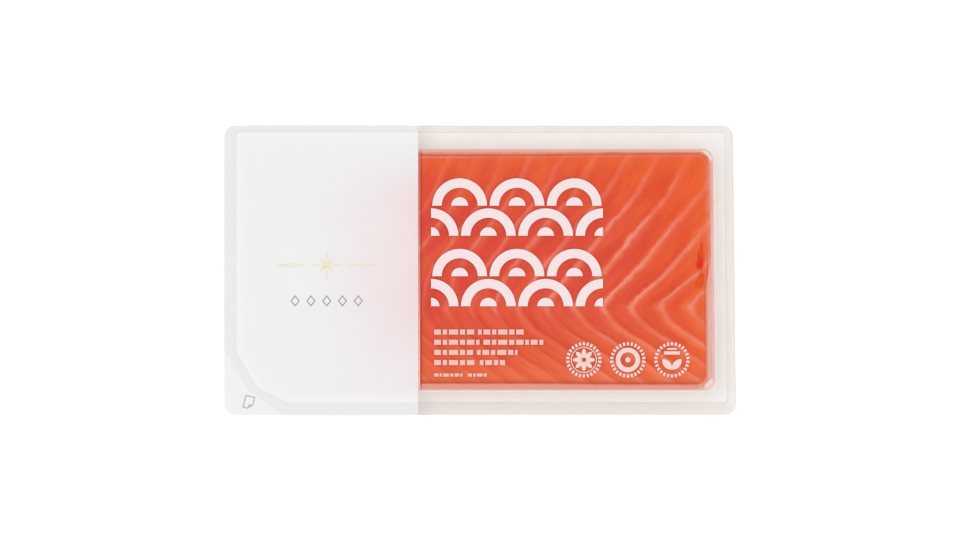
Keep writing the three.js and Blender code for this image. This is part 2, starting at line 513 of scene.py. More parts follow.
def room_at(x, y):
    """How much wider the painted pale band and shade round the slices' edge are: wide at the near side and
    near right, narrow at the far right.
    """
    far = smoothstep(y, *FAR_FROM)
    near_room = NEAR_ROOM + NEAR_END_ROOM * smoothstep(x, *NEAR_END_FROM)
    return near_room * (1 - far) + FAR_ROOM * far - CROWDED_BY * smoothstep(x, *CROWDED_FROM)


def is_brim(edge):
    """Whether an edge lies level where two faces meet sharply, round a slice's top or underside."""
    first, second = edge.verts
    return edge.is_manifold and edge.calc_face_angle() > 1 and abs(first.co.z - second.co.z) < SAME_PLACE


def make_slice(level, thickness):
    """One slice: a net cut to the pocket's outline at that height, drawn down, its edges rounded."""
    top = SALMON_FLOOR + (level + 1) * thickness - SLICE_GAP
    is_top = level == SLICES - 1
    inset = wall_inset(top - thickness + SLICE_EDGE) + WALL_ROOM
    outline = [(x - END_ROOM[level] if x > 0 else x, y) for x, y in POCKET_OUTLINE]
    cell = TOP_CELL if is_top else LOWER_CELL
    made = cut_sheet(f"slice_{level}", outline, SLICE_CORNER, top, inset=inset, cell=cell)
    edit_all(made)
    down = (0, 0, (SLICE_GAP - thickness) * MM)
    bpy.ops.mesh.extrude_region_move(TRANSFORM_OT_translate={"value": down})
    bpy.ops.mesh.select_all(action="SELECT")
    bpy.ops.mesh.normals_make_consistent(inside=False)
    middle = (top - thickness / 2) * MM
    for offset, is_upper in ((SHOULDER if is_top else SLICE_EDGE, True), (SLICE_EDGE, False)):
        pick(made, "EDGE", lambda edge: is_brim(edge) and (edge.verts[0].co.z > middle) == is_upper)
        bpy.ops.mesh.bevel(offset=offset * MM, segments=4, profile=0.5)
    done()
    if is_top:
        shape_by(made, "SUBSURF", subdivision_type="SIMPLE", levels=1, render_levels=1)
    return made


slice_height = (SALMON_TOP - SALMON_FLOOR) / SLICES
salmon = join([make_slice(level, slice_height) for level in range(SLICES)], "salmon_slices")
for vertex in salmon.data.vertices:
    x, y, z = vertex.co / MM
    depth = inside_by(x, y, POCKET_OUTLINE, POCKET_RADIUS)
    edge = 1 - smoothstep(depth, *WAVER_RUN)
    waver = EDGE_WAVER * edge * (0.5 + 0.5 * uneven(x, y, 9, 9, z / 2))
    vertex.co.x -= math.copysign(waver, x) * MM
    vertex.co.y -= math.copysign(waver, y) * MM
    on_top = smoothstep(z, SALMON_TOP - 0.6, SALMON_TOP - 0.2)
    part = flake_at(x, y) % 1
    groove = math.exp(-((min(part, 1 - part) / GROOVE_HALF) ** 2))
    swell = 0.5 + 0.5 * uneven(x, y, 24, 20, 0.7)
    vertex.co.z -= on_top * (GROOVE * groove + SWELL * swell + NOTCH_DEPTH * notch_at(x, y)) * MM
lay_tone(salmon, "flake", flake_at, "POINT")
lay_tone(salmon, "notch", notch_at, "POINT")
lay_tone(salmon, "arm", lambda x, y: smoothstep(y - SPINE_Y, -7, 3), "POINT")
lay_tone(salmon, "rim", lambda x, y: inside_by(x, y, POCKET_OUTLINE, SLICE_CORNER) - room_at(x, y), "POINT")
lean(salmon)
smooth(salmon)

FLESH = pigment(220, 79, 53)
FLESH_LEFT = pigment(219, 75, 58)
FLESH_RIGHT = pigment(235, 91, 14)
FLESH_EDGE = pigment(234, 115, 60)
FAT = pigment(238, 144, 119)
# Painted light and shade round the slices' edge: a pale band, a pink-grey painted shade, and a painted
# shadow line.
PAINTED_EDGE_LIGHT = pigment(234, 158, 138)
PAINTED_EDGE_SHADE = pigment(214, 149, 133)
DEEP_FLESH = pigment(201, 44, 22)
PAINTED_SHADOW_COLOUR = pigment(172, 62, 42)
# The gaps' dark red is partly oil and partly painted shade of the gap.
NOTCH_EDGE, NOTCH_FOOT = pigment(224, 84, 0), pigment(222, 30, 0)
NOTCH_DEEPEST = 2.6 * MM
SPINE_HALF = 3.5 * MM  # how far from the spine the fat still gathers in a node
# The fat across a flake, as (place, strength): above the spine, further left, below it and at its nodes.
FAT_LINES = [
    [(0, 0), (0.09, 0.1), (0.15, 0.9), (0.22, 1), (0.3, 0.35), (0.42, 0.1), (0.7, 0)],
    [(0, 0), (0.1, 0), (0.16, 0.85), (0.22, 0.9), (0.28, 0.3), (0.4, 0.1), (0.6, 0)],
    [(0, 0.2), (0.1, 0.4), (0.2, 0.68), (0.27, 0.7), (0.35, 0.25), (0.42, 0), (0.8, 0), (1, 0.2)],
    [(0, 0.35), (0.08, 0.6), (0.15, 1), (0.24, 1), (0.31, 0.3), (0.38, 0), (0.8, 0.05), (1, 0.35)],
]


def ramp(material, value, stops):
    """A colour ramp from (place, grey) stops: how strongly something shows, by place across a flake."""
    made = shader(material, "ValToRGB", {"Fac": value})
    made.color_ramp.interpolation = "B_SPLINE"
    while len(made.color_ramp.elements) < len(stops):
        made.color_ramp.elements.new(0.5)
    for element, (place, grey) in zip(made.color_ramp.elements, stops):
        element.position = place
        element.color = (grey, grey, grey, 1)
    return made.outputs["Color"]


def streaks(material, flake, across, per_flake, length):
    """Noise drawn out along the flakes: so many streaks side by side in a flake, of about this length."""
    along_lines = times(material, across, 1 / (length * MM))
    side_by_side = times(material, flake, per_flake)
    place = shader(material, "CombineXYZ", {"X": side_by_side, "Y": along_lines}).outputs["Vector"]
    return shader(material, "TexNoise", {"Vector": place, "Scale": 1, "Detail": 3}).outputs["Fac"]


def gap(material, value, middle):
    """How far a value is from the middle, either way."""
    apart = sums(material, "SUBTRACT", value, middle)
    return shader(material, "Math", {0: apart}, operation="ABSOLUTE").outputs["Value"]


def smoked_salmon():
    material = new_finish("smoked_salmon_flesh")
    place = shader(material, "SeparateXYZ", {0: shader(material, "TexCoord").outputs["Object"]})
    across, along = place.outputs["Y"], place.outputs["X"]
    flake = tone_of(material, "flake")
    fine = between(material, patches(material, 6, 3, 0.65), 0.3, 0.7, 0.15, 0.25)
    shifted = sums(material, "ADD", flake, fine)
    part = shader(material, "Math", {0: shifted}, operation="FRACT").outputs["Value"]
    upper, thin, lower, node = (ramp(material, part, stops) for stops in FAT_LINES)
    arm = tone_of(material, "arm")
    rightward = between(material, along, -0.025, 0.05, 0.0, 1.0)
    upper = blend(material, rightward, thin, upper)
    lower = blend(material, between(material, across, (SPINE_Y - 12) * MM, (SPINE_Y - 3) * MM), lower, node)
    faded = between(material, along, 0.035, 0.065, 0.25, 0.7)
    lower = times(material, lower, faded)
    lower = times(material, lower, between(material, across, -0.032, -0.022, 1.5, 0.8))
    fat = blend(material, arm, lower, upper)
    at_spine = between(material, gap(material, across, SPINE_Y * MM), 0.0, SPINE_HALF, 0.9, 0.0)
    at_spine = times(material, at_spine, between(material, along, 0.035, 0.06, 0.45, 1.0))
    fat = blend(material, at_spine, fat, node)
    strength = between(material, patches(material, 21), 0.35, 0.65, 0.6, 1.1)
    strength = times(material, strength, between(material, patches(material, 8), 0.3, 0.7, 0.75, 1.2))
    strength = times(material, strength, between(material, along, 0.0, 0.06, 0.55, 1.0))
    strength = times(material, strength, between(material, across, 0.02, 0.045, 1.0, 0.4))
    fat = times(material, fat, strength)
    after = ramp(material, part, [(0, 0), (0.34, 0), (0.42, 1), (0.55, 0.5), (0.8, 0), (1, 0)])
    after = times(material, after, between(material, arm, 0.0, 1.0, 0.45, 0.15))
    flesh = blend(material, between(material, along, -0.03, 0.1), FLESH_LEFT, FLESH)
    flesh = blend(material, between(material, along, 0.05, 0.11, 0.0, 0.8), flesh, FLESH_RIGHT)
    far_orange = between(material, across, 0.02, 0.055, 0.0, 0.7)
    far_orange = times(material, far_orange, between(material, along, 0.0, 0.07, 0.75, 1.0))
    flesh = blend(material, far_orange, flesh, FLESH_RIGHT)
    flesh = blend(material, between(material, across, -0.005, -0.05, 0.0, 0.55), flesh, FLESH_EDGE)
    flesh = blend(material, between(material, across, -0.042, -0.054, 0.0, 0.25), flesh, FAT)
    broad = streaks(material, flake, across, 1.7, 24)
    flesh = blend(material, between(material, broad, 0.45, 0.7, 0.0, 0.35), flesh, DEEP_FLESH)
    flesh = blend(material, between(material, broad, 0.5, 0.3, 0.0, 0.3), flesh, FLESH_EDGE)
    flesh = blend(material, after, flesh, DEEP_FLESH)
    rim = tone_of(material, "rim")
    flesh = blend(material, between(material, rim, 3.0, 16.0, 0.42, 0.0), flesh, FLESH_EDGE)
    colour = blend(material, fat, flesh, FAT)
    fibres = between(material, streaks(material, flake, across, 14, 7), 0.35, 0.65, 0.0, 0.2)
    colour = blend(material, fibres, colour, DEEP_FLESH)
    rim = between(material, rim, 0.0, 5.0)
    # painted light and shade round the edge: a pale band for the light and wall seen beside the slices, with
    # a pink-grey painted shade at its outer side
    pale = ramp(material, rim, [(0, 0.9), (0.36, 0.9), (0.42, 0), (1, 0)])
    colour = blend(material, pale, colour, PAINTED_EDGE_LIGHT)
    shade = ramp(material, rim, [(0, 1), (0.17, 1), (0.24, 0), (1, 0)])
    colour = blend(material, shade, colour, PAINTED_EDGE_SHADE)
    # a thin painted highlight a little further in from the edge
    glint = ramp(material, rim, [(0, 0), (0.6, 0), (0.67, 1), (0.77, 0), (1, 0)])
    glint = times(material, glint, between(material, across, -0.03, 0.03, 0.0, 0.35))
    glint = times(material, glint, between(material, along, -0.01, 0.005, 2.0, 1.0))
    colour = blend(material, glint, colour, PAINTED_EDGE_LIGHT)
    # a painted shadow line inside the pale band, softer along the near side
    shadow_line = ramp(material, rim, [(0, 0), (0.42, 0), (0.47, 1), (0.53, 1), (0.58, 0), (1, 0)])
    soft = ramp(material, rim, [(0, 0), (0.44, 0), (0.5, 0.8), (0.6, 0.5), (0.85, 0), (1, 0)])
    shadow_line = blend(material, between(material, across, -0.046, -0.05), shadow_line, soft)
    shadow_line = times(material, shadow_line, between(material, along, 0.096, 0.1, 1.0, 0.5))
    shadow_line = times(material, shadow_line, between(material, across, -0.03, 0.03, 1.0, 0.6))
    colour = blend(material, shadow_line, colour, PAINTED_SHADOW_COLOUR)
    # dark red in the gaps: partly oil, partly painted shade
    from_deepest = between(material, gap(material, across, NOTCH_DEEPEST), 0.5 * MM, 6.5 * MM)
    notch_colour = blend(material, from_deepest, NOTCH_FOOT, NOTCH_EDGE)
    notch = between(material, tone_of(material, "notch"), 0.1, 0.85)
    colour = blend(material, notch, colour, notch_colour)
    grain = bumps(material, 0.9, 3, 0.2, 0.2)
    rough = patchy(material, 6, 0.3, 0.45)
    return cover(material, solid(material, colour, rough, Specular_IOR_Level=0.15, Normal=grain))


belongs(salmon, smoked_salmon(), "salmon_flesh", "salmon")

# ------------------------------------------------------------------ film ---
# A clear film, drawn down onto the slices by vacuum and welded to the tray's
# flange by a heated frame, which leaves a pressed band. The band crosses the
# near left corner slantwise, so that the corner beyond it is a loose tab.

FILM_SHEET = 0.16
FILM_TOP = TRAY_TOP + 0.02 + FILM_SHEET
DISH_START, DISH_RUN, DISH_DEPTH = 0.2, 3, 0.9
DISH_CUTS = 8
FILM_CELL = 2.5
FILM_WAVE = 0.1
WELD_INNER = [(-86.3, -59.2), (110.8, -59.2), (110.8, 61.6), (-109, 61.6), (-109, -36.7), (-99.8, -52.5)]
WELD_OUTER = [(-87.1, -66), (116, -66), (116, 66), (-116, 66), (-116, -35.2), (-103.9, -54.7)]
WELD_RADIUS = 1.5
WELD_SLOPE, WELD_DEPTH = 0.5, 0.06
LIP = 0.7  # round the pocket, where the film leaves the flange, a painted highlight lies on it
STRIP_WIDTH = 1.5  # and a painted pale pink band where it is drawn down beside the slices, for the light and the salmon's colour seen through the wall
GAP_WIDTH = 1.2  # and most of all over the gap beside them
FAR_GLINT, NEAR_GLINT = (0.5, 1.2, 1), (1.3, 1.9, 3)  # where a painted highlight lies in each corner: from, width, how blunt
NEAR_WELD_FROM, FAR_GAP_FROM = -58, 50
END_RISE = (96, 102)  # rightward over this the gap and the strip change to the right-hand end's tones
END_RUNS = {"gap": (-35, -5), "strip": (-5, 28)}  # and over this towards the near side
EDGE_LINE = 0.7  # along its cut edge the film is painted a little grey, as painted shade
TAB_LIFT = 0.2
PRINT_EDGE = -27.9  # left of this the film is inked, which makes it stiffer
STIFF_RUN, STIFF_FROM = 18, 12


def dish_profile():
    points = []
    for i in range(DISH_CUTS + 1):
        part = i / DISH_CUTS
        points.append((DISH_START + part * DISH_RUN, FILM_TOP - DISH_DEPTH * smoothstep(part, 0, 1)))
    return points


def net(piece, wanted, low, high, cell):
    """Cuts the wanted faces into square cells with a run of straight cuts each way, the rest hidden."""
    pick(piece, "FACE", lambda face: not wanted(face))
    bpy.ops.mesh.hide(unselected=False)
    for axis in (0, 1):
        line = low[axis] + cell
        while line < high[axis]:
            point, direction = Vector((0, 0, 0)), Vector((0, 0, 0))
            point[axis], direction[axis] = line * MM, 1
            cut(point, direction, clear=False)
            line += cell
    bpy.ops.mesh.reveal(select=False)


def depth_of(face, outline, radius):
    """How far the middle of a face lies inside a rounded outline."""
    return inside_by(*(face.calc_center_median().xy / MM), outline, radius)


def in_weld(face):
    """Whether a face of the film lies in the pressed band."""
    return depth_of(face, WELD_INNER, WELD_RADIUS) < 0 < depth_of(face, WELD_OUTER, WELD_RADIUS)


def on_flange(face):
    return depth_of(face, POCKET_OUTLINE, POCKET_RADIUS) < -LIP


film = cut_sheet("lid_film_skin", POCKET_OUTLINE, POCKET_RADIUS, FILM_TOP, inset=DISH_START)
edit_all(film)
press(dish_profile())
net(film, lambda face: True, (-104, -56), (106, 56), FILM_CELL)
done()
for outline, radius, inset in (
    (POCKET_OUTLINE, POCKET_RADIUS, -LIP),
    (WELD_INNER, WELD_RADIUS, 0),
    (PACK_OUTLINE, PACK_RADIUS, EDGE_LINE),
    (PACK_OUTLINE, PACK_RADIUS, 0),
):
    film = join([film, cut_loop(outline, radius, FILM_TOP, inset)], "lid_film_skin")
    edit(film)
    fill_between(film)
    done()
edit(film)
face_up(film)
outer = corner_arcs(WELD_OUTER, WELD_RADIUS)
for centre_x, centre_y, start, turn in (outer[4], outer[5], outer[0]):
    for angle in (start + turn / 2, start + turn):
        out = Vector((math.cos(angle), math.sin(angle), 0))
        point = Vector((centre_x, centre_y, 0)) + WELD_RADIUS * out
        pick(film, "FACE", lambda face: depth_of(face, WELD_INNER, WELD_RADIUS) < 0)
        bpy.ops.mesh.bisect(plane_co=point * MM, plane_no=out, threshold=CUT_MERGE)
pick(film, "FACE", in_weld)
bpy.ops.mesh.inset(thickness=WELD_SLOPE * MM, depth=-WELD_DEPTH * MM, use_boundary=False)
net(film, on_flange, (-116, -66), (116, 66), FILM_CELL)
done()
for vertex in film.data.vertices:
    x, y, z = vertex.co / MM
    depth = inside_by(x, y, POCKET_OUTLINE, POCKET_RADIUS)
    drawn = smoothstep(depth, DISH_START + DISH_RUN, 12)
    vertex.co.z += FILM_WAVE * drawn * uneven(x, y, 22, 17, 5.3) * MM
    slack = smoothstep(depth, DISH_START, DISH_START + DISH_RUN) - smoothstep(depth, DISH_START, STIFF_RUN)
    vertex.co.z += DISH_DEPTH * slack * smoothstep(PRINT_EDGE - x, 0, STIFF_FROM) * MM
    loose = smoothstep(-inside_by(x, y, WELD_OUTER, WELD_RADIUS), 0, 14)
    vertex.co.z += TAB_LIFT * loose * MM


def in_glint(x, y, pocket):
    """Whether a place lies in a corner's arc of painted highlight, which tapers off at both ends."""
    start, width, bluntness = NEAR_GLINT if y < 0 else FAR_GLINT
    from_side = min(x - CORNER_FROM[0], abs(y) - CORNER_FROM[1])
    return start < pocket < start + min(bluntness * from_side, width)


def film_zone(x, y):
    """Which part of the film a place lies in, by name. Only some of the parts have tones."""
    if inside_by(x, y, PACK_OUTLINE, PACK_RADIUS) < EDGE_LINE:
        return "edge"
    if inside_by(x, y, WELD_OUTER, WELD_RADIUS) < 0:
        return "tab"
    weld = inside_by(x, y, WELD_INNER, WELD_RADIUS)
    if -WELD_SLOPE < weld < 0:
        return "line"
    if weld < 0:
        return "near_weld" if y < NEAR_WELD_FROM else "weld"
    pocket = inside_by(x, y, POCKET_OUTLINE, POCKET_RADIUS)
    if pocket < DISH_START:
        return "lip" if pocket > -LIP and y < 50 else "rim"
    if in_glint(x, y, pocket):
        return "near_glint" if y < 0 else "glint"
    if pocket < GAP_WIDTH:
        return "far_gap" if y > FAR_GAP_FROM else "gap"
    return "strip" if pocket - room_at(x, y) < STRIP_WIDTH else "window"


def film_tone(tones, x, y):
    """One of the tones at a place: its part's own, which for some changes bit by bit to the near right."""
    zone = film_zone(x, y)
    tone = tones.get(zone, 0.0)
    if zone in END_RUNS:
        share = smoothstep(x, *END_RISE) * smoothstep(-y, *END_RUNS[zone])
        tone += share * (tones.get("end_" + zone, tone) - tone)
    return tone


# These tones paint light and shade on the film: painted highlights on the lip and in the right-hand corners,
# a painted pale pink band over the strip and the gap for the light and the salmon's colour seen through the
# wall, and painted shade that deepens the tint along the cut edge, over the weld band and along its inner
# line.
FILM_TONES = {
    "haze_and_painted_light": {
        "tab": 0.04,
        "line": 0.04,
        "lip": 0.3,
        "glint": 0.5,
        "near_glint": 0.6,
        "gap": 0.42,
        "far_gap": 0.4,
        "strip": 0.14,
        "end_strip": 0.3,
    },
    "deep": {"edge": 1.0, "weld": 0.65, "near_weld": 0.8, "line": 0.85},
    "painted_glow": {
        "lip": 0.15,
        "glint": 0.25,
        "near_glint": 0.35,
        "gap": 0.8,
        "end_gap": 0.45,
        "far_gap": 0.6,
        "strip": 0.6,
        "end_strip": 0.5,
    },
}
only(film)
bpy.ops.object.duplicate()
white_print = bpy.context.object
for name, tones in FILM_TONES.items():
    lay_tone(film, name, lambda x, y: film_tone(tones, x, y))
shape_by(film, "SOLIDIFY", thickness=FILM_SHEET * MM, offset=-1, use_even_offset=True)
lean(film)
smooth(film)
film_milk = pigment(240, 238, 236)
clear_film = clear_plastic("clear_lid_film", (0.995, 0.99, 0.985, 1), film_milk, 0.002, 0.06, 18)
belongs(film, clear_film, "printed_film", "lid_film")

# ----------------------------------------------------------- white print ---
# The left-hand part of the film is printed opaque white up to a straight edge.
# The weld and the pocket's rim show in it where it follows the film's shape, and
# are painted in too: painted shade over the weld band and its inner line, and a
# painted highlight along the inside of the weld. Towards its edge a painted pink
# glow stands in for the salmon's light showing through the ink.

INK_LIFT, INK_SHEET = 0.02, 0.02
INK_GLOSS = 0.3
PINK_RUN, PINK_AT_NEAR = 50, 0.45
# painted light and shade on the white print, as shares: tab, weld band, its inner line, and highlights
# inside the weld
TAB_TONE, WELD_TONE, LINE_TONE, RIM_TONE, LIT_TONE = 0.02, -0.04, -0.03, 0.015, 0.025


def print_light_and_shade(x, y):
    """Painted light and shade on the white, as a share of its colour over the pocket: lighter on the tab,
    painted shade over the weld band and its inner line, and a painted highlight along the inside of the
    weld.
    """
    weld_outer = inside_by(x, y, WELD_OUTER, WELD_RADIUS)
    weld_inner = inside_by(x, y, WELD_INNER, WELD_RADIUS)
    if weld_outer < 0.01:
        return 1 + TAB_TONE
    if weld_inner < -0.01:
        return 1 + WELD_TONE + LINE_TONE * smoothstep(weld_inner, -1.6, -WELD_SLOPE)
    near_rim = 1 - smoothstep(weld_inner, 2.5, 8)
    near_weld = 1 - smoothstep(weld_inner, 0.6, 2.6)
    return 1 + RIM_TONE * near_rim + LIT_TONE * near_weld


white_print.name = white_print.data.name = "white_print"
lay_tone(white_print, "tone", print_light_and_shade, "POINT")
lean(white_print)
edit(white_print)
cut((PRINT_EDGE * MM, 0, 0), (1, 0, 0))
bpy.ops.mesh.select_all(action="SELECT")
bpy.ops.transform.translate(value=(0, 0, INK_LIFT * MM))
done()
shape_by(white_print, "SOLIDIFY", thickness=INK_SHEET * MM, offset=1, use_even_offset=True)


def painted_salmon_glow(x, y):
    """How strongly a painted pink glow, standing in for the salmon's light through the ink, shows at a
    place.
    """
    from_near, from_far = y - POCKET_OUTLINE[0][1], POCKET_OUTLINE[2][1] - y
    near_share = PINK_AT_NEAR + (1 - PINK_AT_NEAR) * smoothstep(from_near, 0, 45)
    along = min(max((x - PRINT_EDGE + PINK_RUN) / PINK_RUN, 0), 1)
    beside_edge = 0.08 * smoothstep(x, PRINT_EDGE - 7, PRINT_EDGE)
    in_pocket = smoothstep(from_near, -6, 1) * smoothstep(from_far, -6, 28)
    return (0.85 * along + beside_edge) * near_share * in_pocket


lay_tone(white_print, "pink", painted_salmon_glow, "POINT")
smooth(white_print)


def white_ink():
    material = new_finish("white_print_ink")
    tone = tone_of(material, "tone")
    # the pink is a painted glow of the salmon's light through the ink, and the tone carries the print's
    # painted light and shade
    colour = blend(material, tone_of(material, "pink"), (0.745, 0.745, 0.755, 1), (0.76, 0.6, 0.6, 1))
    colour = blend(material, patchy(material, 30, 0.0, 0.2), colour, (0.755, 0.755, 0.755, 1))
    shade = shader(material, "CombineColor", {"Red": tone, "Green": tone, "Blue": tone}).outputs["Color"]
    colour = blend(material, 1.0, colour, shade, "MULTIPLY")
    ripple = bumps(material, 0.7, 2, 0.05, 0.1)
    rough = patchy(material, 12, 0.32, 0.42)
    return cover(material, solid(material, colour, rough, Specular_IOR_Level=INK_GLOSS, Normal=ripple))


belongs(white_print, white_ink(), "printed_film")

# ------------------------------------------------------------ bold waves ---
# The window's bold print: two bands of rounded waves in thick pale ink, each of
# two rows set half a wave apart. Every wave is an arch with a small half disc
# under it. The ink is rolled on to the film and dries flat.

WAVE_RADIUS, WAVE_PITCH = 12.3, 25.76
WAVE_STROKE, WAVE_CORE = 4.2, 3.8
WAVES_LEFT, WAVE_COUNT = -22.1, 3
# Each row's height up the pack, and whether it starts half a wave aside.
WAVE_BASES = [(29, False), (15.5, True), (-2.7, False), (-16.2, True)]
DRAWING_HEIGHT = FILM_TOP + 0.3  # flat shapes are drawn here and then laid down


def ink_disc(name, radius, x=0, y=0, rings=(), hollow=True, sides=48):
    """A disc of ink with rings set into it, hollow inside the last one."""
    bpy.ops.object.select_all(action="DESELECT")
    bpy.ops.mesh.primitive_circle_add(
        vertices=sides, radius=radius * MM, fill_type="NGON", location=(x * MM, y * MM, DRAWING_HEIGHT * MM)
    )
    disc = bpy.context.object
    disc.name = disc.data.name = name
    bpy.ops.object.transform_apply(location=True, rotation=True, scale=True)
    edit_all(disc)
    for width in rings:
        bpy.ops.mesh.inset(thickness=width * MM)
    if hollow:
        bpy.ops.mesh.delete(type="FACE")
    done()
    return disc


def ink_block(name, width, height, x=0, y=0, cells=(1, 1)):
    """A rectangle of ink."""
    bpy.ops.object.select_all(action="DESELECT")
    place = (x * MM, y * MM, DRAWING_HEIGHT * MM)
    columns, rows = cells
    bpy.ops.mesh.primitive_grid_add(x_subdivisions=columns, y_subdivisions=rows, size=MM, location=place)
    block = bpy.context.object
    block.name = block.data.name = name
    bpy.ops.transform.resize(value=(width, height, 1))
    bpy.ops.object.transform_apply(location=True, rotation=True, scale=True)
    return block


def keep_side(piece, x, y, out):
    """Cuts off what lies beyond a line through (x, y), on the side that out points to."""
    edit(piece)
    cut((x * MM, y * MM, 0), (*out, 0))
    done()


def slide(piece, x, y):
    edit_all(piece)
    bpy.ops.transform.translate(value=(x * MM, y * MM, 0))
    done()


def repeat(piece, count, pitch):
    """Repeats a piece to the right, so many times in all."""
    step = (pitch * MM, 0, 0)
    shape_by(
        piece,
        "ARRAY",
        count=count,
        use_relative_offset=False,
        use_constant_offset=True,
        constant_offset_displace=step,
    )


def lay_on_film(shape):
    """Lays a drawn shape down on the film, just clear of it, and gives it the ink's thickness."""
    edit_all(shape)
    bpy.ops.mesh.remove_doubles(threshold=SAME_PLACE)
    face_up(shape)
    done()
    shape_by(
        shape,
        "SHRINKWRAP",
        target=film,
        wrap_method="PROJECT",
        wrap_mode="ABOVE_SURFACE",
        use_project_z=True,
        use_negative_direction=True,
        use_positive_direction=False,
        offset=2 * INK_LIFT * MM,
    )
    shape_by(shape, "SOLIDIFY", thickness=INK_SHEET * MM, offset=1)


def ink(name, colour, roughness=0.4):
    """Printing ink: even, a little mottled where the roller left less of it."""
    material = new_finish(name)
    mottle = between(material, patches(material, 1.6, 3), 0.35, 0.7, 0.0, 0.1)
    thinner = tuple(share * 0.86 for share in colour[:3])
    mixed = blend(material, mottle, colour, (*thinner, 1))
    rough = patchy(material, 3, roughness - 0.06, roughness + 0.06)
    return cover(material, solid(material, mixed, rough, Specular_IOR_Level=INK_GLOSS))


def wave_row(base, aside):
    """A row of arches on one base line, cut off at the band's ends."""
    start = WAVES_LEFT + (0 if aside else WAVE_PITCH / 2)
    arch = ink_disc("arch", WAVE_RADIUS, start, base, [WAVE_STROKE / 2, WAVE_STROKE / 2])
    core = ink_disc("core", WAVE_CORE, start, base, [1.4], hollow=False)
    row = join([arch, core], "wave_row")
    repeat(row, WAVE_COUNT + aside, WAVE_PITCH)
    keep_side(row, 0, base, (0, -1))
    keep_side(row, WAVES_LEFT, 0, (-1, 0))
    keep_side(row, WAVES_LEFT + WAVE_PITCH * WAVE_COUNT, 0, (1, 0))
    return row


waves = join([wave_row(base, aside) for base, aside in WAVE_BASES], "bold_waves")
lay_on_film(waves)
pale_ink = ink("pale_pink_ink", (0.8, 0.665, 0.67, 1))
belongs(waves, pale_ink, "printed_film")

# ---------------------------------------------------------- print fringe ---
# A hair's breadth of ink that has crept out along the white print's edge. It is
# see-through and heavier towards the near side. Beside it lies a thin dark strip
# of painted shadow, cast by the print's edge.

FRINGE_WIDTH, FRINGE_LENGTH = 1.8, 129
FRINGE_CELLS = (2, 60)
FRINGE_CLEARANCE = 0.01
PALE_SHARE, PALE_RISE, EDGE_SHADOW_SHARE = 0.18, 0.74, 0.25  # how much of what lies below they hide
PALE_TOP, PALE_RUN = 48, 91  # the pale part grows heavier from here down, over this length
FLANGE_PALE_SHARE, FLANGE_EDGE_SHADOW_SHARE = 0.05, 0.02
# the dark colour is a painted shadow of the print's edge on the salmon
PALE_INK, EDGE_SHADOW_PAINT = (1.0, 0.52, 0.42, 1), (0.2, 0.07, 0.05, 1)


def in_painted_shadow(x, y):
    return float(x > PRINT_EDGE + FRINGE_WIDTH / 2)


def fringe_hiding(x, y):
    """How much of the light one face of the fringe stops at a place. It has two, upper and lower."""
    if inside_by(x, y, POCKET_OUTLINE, POCKET_RADIUS) < 0:
        hidden = FLANGE_EDGE_SHADOW_SHARE if in_painted_shadow(x, y) else FLANGE_PALE_SHARE
    elif in_painted_shadow(x, y):
        hidden = EDGE_SHADOW_SHARE
    else:
        hidden = PALE_SHARE + PALE_RISE * min(max((PALE_TOP - y) / PALE_RUN, 0), 1) ** 1.5
    return 1 - math.sqrt(1 - hidden)


def fringe_ink_and_shadow():
    material = new_finish("fringe_ink_and_shadow")
    colour = blend(material, tone_of(material, "edge_shadow"), PALE_INK, EDGE_SHADOW_PAINT)
    body = solid(material, colour, 0.4, Specular_IOR_Level=INK_GLOSS)
    clear = shader(material, "BsdfTransparent", {"Color": PLAIN_WHITE}).outputs["BSDF"]
    uneven = patchy(material, 2, 0.8, 1.2)
    hiding = times(material, tone_of(material, "hiding"), uneven)
    return cover(material, mix_shaders(material, hiding, clear, body))


fringe_x = PRINT_EDGE + FRINGE_WIDTH / 2 + FRINGE_CLEARANCE
fringe = ink_block("print_fringe", FRINGE_WIDTH, FRINGE_LENGTH, fringe_x, 0, FRINGE_CELLS)
lay_tone(fringe, "hiding", fringe_hiding)
lay_tone(fringe, "edge_shadow", in_painted_shadow)
lay_on_film(fringe)
belongs(fringe, fringe_ink_and_shadow(), "printed_film")

# ------------------------------------------------------------ small rows ---
# Rows of small pale blocks below the waves, of mixed widths and in runs as long
# as lines of small type would have, and a finer row under them.

BLOCK_WIDTHS = (3.1, 2.0, 4.2, 2.4, 3.4, 1.7)
BLOCK_GAP, BLOCK_HEIGHT, LEAST_BLOCK = 0.75, 2.3, 1.1
ROWS_LEFT, FIRST_ROW, ROW_PITCH = -20.7, -27.8, 4.57
RUN_GAP = 1.7
ROW_RUNS = [(18, 21), (20.4, 27), (17.5, 18.3), (18.8, 11.4)]
FINE_ROW, FINE_RUNS, FINE_SCALE = -47.1, (13.4, 8.6), 0.62


def block_row(runs, y, scale):
    """One row of runs with these lengths. The blocks' widths follow each other by turns."""
    made = []
    start = ROWS_LEFT
    for length in runs:
        place, end = start, start + length
        while end - place > scale * LEAST_BLOCK:
            width = min(scale * BLOCK_WIDTHS[len(made) % len(BLOCK_WIDTHS)], end - place)
            made.append(ink_block("block", width, scale * BLOCK_HEIGHT, place + width / 2, y))
            place += width + scale * BLOCK_GAP
        start = end + RUN_GAP
    return made


blocks = []
for i, runs in enumerate(ROW_RUNS):
    blocks += block_row(runs, FIRST_ROW - i * ROW_PITCH, 1)
blocks += block_row(FINE_RUNS, FINE_ROW, FINE_SCALE)
small_rows = join(blocks, "small_rows")
lay_on_film(small_rows)
fine_ink = ink("fine_pink_ink", (0.8, 0.46, 0.4, 1))
belongs(small_rows, fine_ink, "printed_film")

# ---------------------------------------------------------------- badges ---
# Three round badges at the window's near right: a ring of short ticks round a
# rosette, a thick ring, and a pair of leaves, all in the same pale ink.

